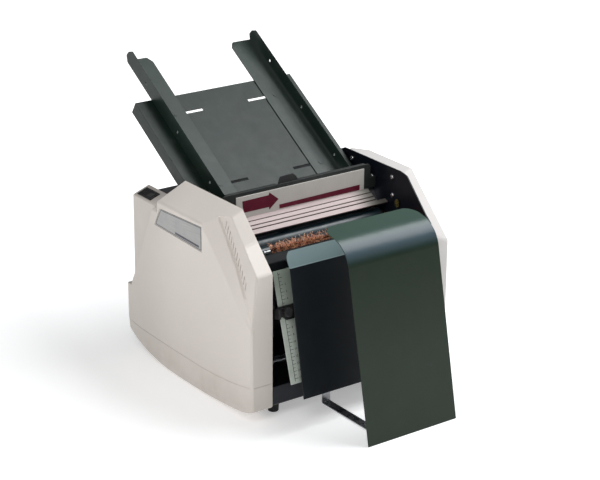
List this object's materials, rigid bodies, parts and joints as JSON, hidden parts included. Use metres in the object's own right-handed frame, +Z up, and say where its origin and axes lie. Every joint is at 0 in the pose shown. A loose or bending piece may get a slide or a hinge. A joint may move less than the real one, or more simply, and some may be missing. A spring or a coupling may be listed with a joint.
{
  "type": "paper folding machine",
  "caption": "Desktop letter folder: sloping feed table with side guides, fold rollers in a grey casing and a dark sheet-metal exit chute.",
  "frame": {"origin": "centre of the footprint, on the desk under the feet", "axes": "+X to the machine's right, +Y to its rear along the paper path, +Z up"},
  "size_m": [0.3412, 0.5584, 0.4248],
  "materials": {
    "casing": "satin, moulded",
    "frame_black": "satin black",
    "chute_paint": "dark green-black, semi-gloss",
    "inner_paint": "blue-black, semi-gloss",
    "table_paint": "fine texture",
    "guide_paint": "fine texture",
    "bar_paint": "satin",
    "pad_tab": "satin",
    "steel": "ground",
    "screw_steel": "bright",
    "rib_metal": "bright anodised",
    "label": "satin",
    "nameplate": "satin",
    "bush_bronze": "sintered",
    "roller_rubber": "ground",
    "wheel_rubber": "ground",
    "pad_rubber": "matte",
    "foot_rubber": "matte",
    "belt_rubber": "matte",
    "gear_plastic": "satin",
    "pulley_plastic": "satin",
    "tinsel": "bright copper strands",
    "motor_can": "satin",
    "galvanised": "zinc plated",
    "ruler_metal": "satin",
    "black_plastic": "satin",
    "switch_black": "gloss"
  },
  "bodies": {
    "machine": {"left_side_frame": "frame_black", "right_side_frame": "frame_black", "tie_rods": "steel", "roller_bushes": "bush_bronze", "base_pan": "frame_black", "rubber_feet": "foot_rubber", "rear_panel": "frame_black", "power_inlet": "black_plastic", "left_cover": "casing", "right_cover": "casing", "nameplate": "nameplate", "switch_housing": "black_plastic", "feed_table": "table_paint", "separator_bar": "bar_paint", "label_plate": "label", "ribbed_bar": "rib_metal", "turn_guide": "galvanised", "front_cross_plate": "frame_black", "static_brush": "tinsel", "drive_belt": "belt_rubber", "feed_belt": "belt_rubber", "motor": "motor_can", "motor_bracket": "galvanised", "rear_table_inner_plate": "galvanised", "rear_table_outer_plate": "galvanised", "front_table_front_plate": "ruler_metal", "front_table_back_plate": "galvanised", "inner_chute_plate": "inner_paint", "outer_chute": "chute_paint", "chute_straps": "steel", "frame_screws": "screw_steel"},
    "left_guide": {"left_paper_guide": "guide_paint", "left_guide_nuts": "black_plastic"},
    "right_guide": {"right_paper_guide": "guide_paint", "right_guide_nuts": "black_plastic"},
    "separator": {"separator_holder": "pad_tab", "separator_pad": "pad_rubber"},
    "rocker": {"rocker_switch": "switch_black"},
    "main_roller": {"main_shaft": "steel", "main_roller_cover": "roller_rubber", "main_gear": "gear_plastic", "main_pulley": "pulley_plastic"},
    "rear_roller": {"rear_shaft": "steel", "rear_roller_cover": "roller_rubber", "rear_gear": "gear_plastic", "rear_pulley": "pulley_plastic"},
    "lower_roller": {"lower_shaft": "steel", "lower_roller_cover": "roller_rubber", "lower_gear": "gear_plastic"},
    "front_roller": {"front_shaft": "steel", "front_roller_cover": "roller_rubber", "front_gear": "gear_plastic"},
    "feed_roller": {"feed_shaft": "steel", "feed_wheels": "wheel_rubber", "feed_pulley": "pulley_plastic"},
    "motor_rotor": {"motor_shaft": "steel", "motor_pulley": "pulley_plastic"},
    "rear_stop": {"rear_fold_stop": "black_plastic"},
    "front_stop": {"front_fold_stop": "black_plastic"},
    "clamp_knob": {"stop_knob": "black_plastic"}
  },
  "joints": [
    {"name": "left_guide_slide", "type": "slide", "parent": "machine", "child": "left_guide", "axis": [1, 0, 0], "range_m": [-0.01, 0.03]},
    {"name": "right_guide_slide", "type": "slide", "parent": "machine", "child": "right_guide", "axis": [1, 0, 0], "range_m": [-0.03, 0.01]},
    {"name": "separator_slide", "type": "slide", "parent": "machine", "child": "separator", "axis": [0, 0, 1], "range_m": [0, 0.004]},
    {"name": "switch_rock", "type": "hinge", "parent": "machine", "child": "rocker", "pos_m": [-0.1507, 0.14839, 0.24724], "axis": [0.9409, 0, 0.3387], "range_deg": [-8, 0]},
    {"name": "main_spin", "type": "hinge", "parent": "machine", "child": "main_roller", "pos_m": [0.0054, -0.01971, 0.204], "axis": [1, 0, 0], "continuous": true},
    {"name": "rear_spin", "type": "hinge", "parent": "machine", "child": "rear_roller", "pos_m": [0.0054, 0.00797, 0.20988], "axis": [1, 0, 0], "continuous": true},
    {"name": "lower_spin", "type": "hinge", "parent": "machine", "child": "lower_roller", "pos_m": [0.0054, -0.02218, 0.17581], "axis": [1, 0, 0], "continuous": true},
    {"name": "front_spin", "type": "hinge", "parent": "machine", "child": "front_roller", "pos_m": [0.0054, -0.04192, 0.20299], "axis": [1, 0, 0], "continuous": true},
    {"name": "feed_spin", "type": "hinge", "parent": "machine", "child": "feed_roller", "pos_m": [0.0054, 0.03881, 0.23637], "axis": [1, 0, 0], "continuous": true},
    {"name": "motor_spin", "type": "hinge", "parent": "machine", "child": "motor_rotor", "pos_m": [0.0054, 0.10329, 0.085], "axis": [1, 0, 0], "continuous": true},
    {"name": "rear_stop_slide", "type": "slide", "parent": "machine", "child": "rear_stop", "axis": [0, -0.2079, 0.9781], "range_m": [-0.072, 0.033]},
    {"name": "front_stop_slide", "type": "slide", "parent": "machine", "child": "front_stop", "axis": [0, -0.2833, -0.959], "range_m": [0, 0.08]},
    {"name": "knob_turn", "type": "hinge", "parent": "front_stop", "child": "clamp_knob", "pos_m": [-0.1206, -0.15011, 0.16081], "axis": [0, 0.959, -0.2833], "range_deg": [0, 180]}
  ],
  "couplings": [
    {"joint": "rear_spin", "follows": "main_spin", "ratio": -1},
    {"joint": "lower_spin", "follows": "main_spin", "ratio": -1},
    {"joint": "front_spin", "follows": "main_spin", "ratio": -1.75},
    {"joint": "motor_spin", "follows": "main_spin", "ratio": 2.75},
    {"joint": "feed_spin", "follows": "main_spin", "ratio": -0.82609}
  ]
}
